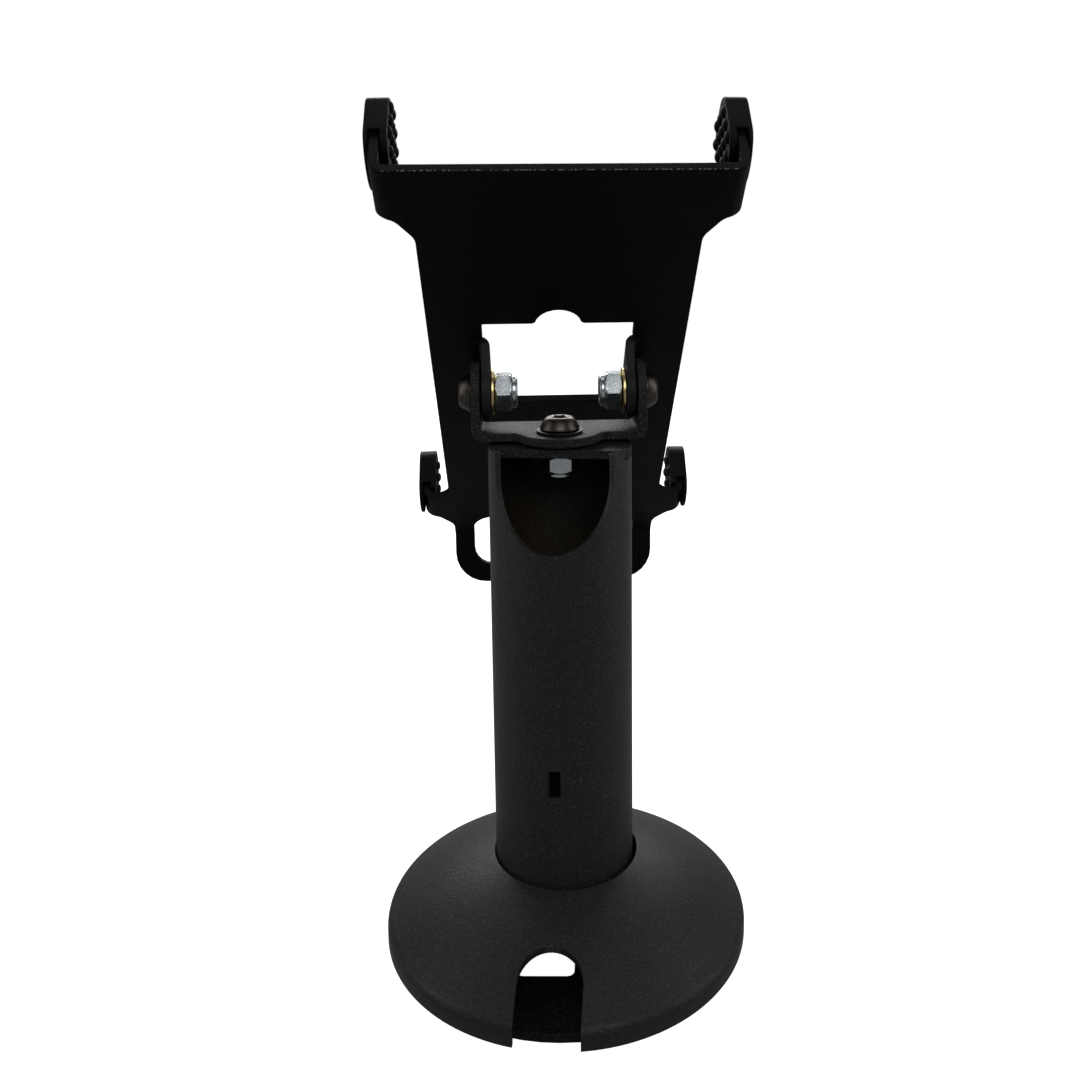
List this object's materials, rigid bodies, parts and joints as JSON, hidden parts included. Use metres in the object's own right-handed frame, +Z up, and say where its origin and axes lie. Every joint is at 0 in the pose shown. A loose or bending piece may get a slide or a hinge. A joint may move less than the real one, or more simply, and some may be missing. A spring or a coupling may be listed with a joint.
{
  "type": "payment terminal stand",
  "caption": "Countertop pole stand for a payment terminal: round base with lift-up cover, steel pole, swivel yoke and a tilting sheet-steel cradle with rubber grips.",
  "frame": {"origin": "on the pole's axis at the underside of the base", "axes": "+Z up the pole; +Y the way the terminal faces; -Y the back, where the cable leaves"},
  "size_m": [0.1323, 0.1808, 0.2983],
  "materials": {
    "black_powder_coat": "fine textured powder coat",
    "weld_bead": "rough, coated over",
    "black_oxide_steel": "black oxide, slightly brown",
    "bright_zinc": "bright zinc plate",
    "yellow_zinc": "yellow zinc plate",
    "white_nylon": "plain",
    "black_nylon": "plain",
    "black_rubber": "matte"
  },
  "bodies": {
    "base": {"base_plate": "black_powder_coat", "pole_tube": "black_powder_coat", "pole_cap": "black_powder_coat", "pole_foot_weld": "weld_bead", "swivel_friction_washer": "black_nylon"},
    "cover": {"base_cover": "black_powder_coat"},
    "yoke": {"swivel_yoke": "black_powder_coat", "swivel_screw": "black_oxide_steel", "swivel_head_washer": "black_oxide_steel", "swivel_nut": "bright_zinc", "swivel_nut_insert": "white_nylon", "tilt_screw_left": "black_oxide_steel", "tilt_screw_right": "black_oxide_steel", "tilt_washer_left": "yellow_zinc", "tilt_washer_right": "yellow_zinc", "tilt_nut_left": "bright_zinc", "tilt_nut_right": "bright_zinc", "tilt_nut_left_insert": "white_nylon", "tilt_nut_right_insert": "white_nylon"},
    "cradle": {"cradle_plate": "black_powder_coat", "upper_grip_left": "black_rubber", "upper_grip_right": "black_rubber", "lower_grip_left": "black_rubber", "lower_grip_right": "black_rubber"}
  },
  "joints": [
    {"name": "cover_lift", "type": "slide", "parent": "base", "child": "cover", "axis": [0, 0, 1], "range_m": [0, 0.03]},
    {"name": "swivel", "type": "hinge", "parent": "base", "child": "yoke", "pos_m": [0, 0, 0.182], "axis": [0, 0, 1], "continuous": true},
    {"name": "tilt", "type": "hinge", "parent": "yoke", "child": "cradle", "pos_m": [0, 0.0107, 0.19845], "axis": [1, 0, 0], "range_deg": [-32, 45]}
  ]
}
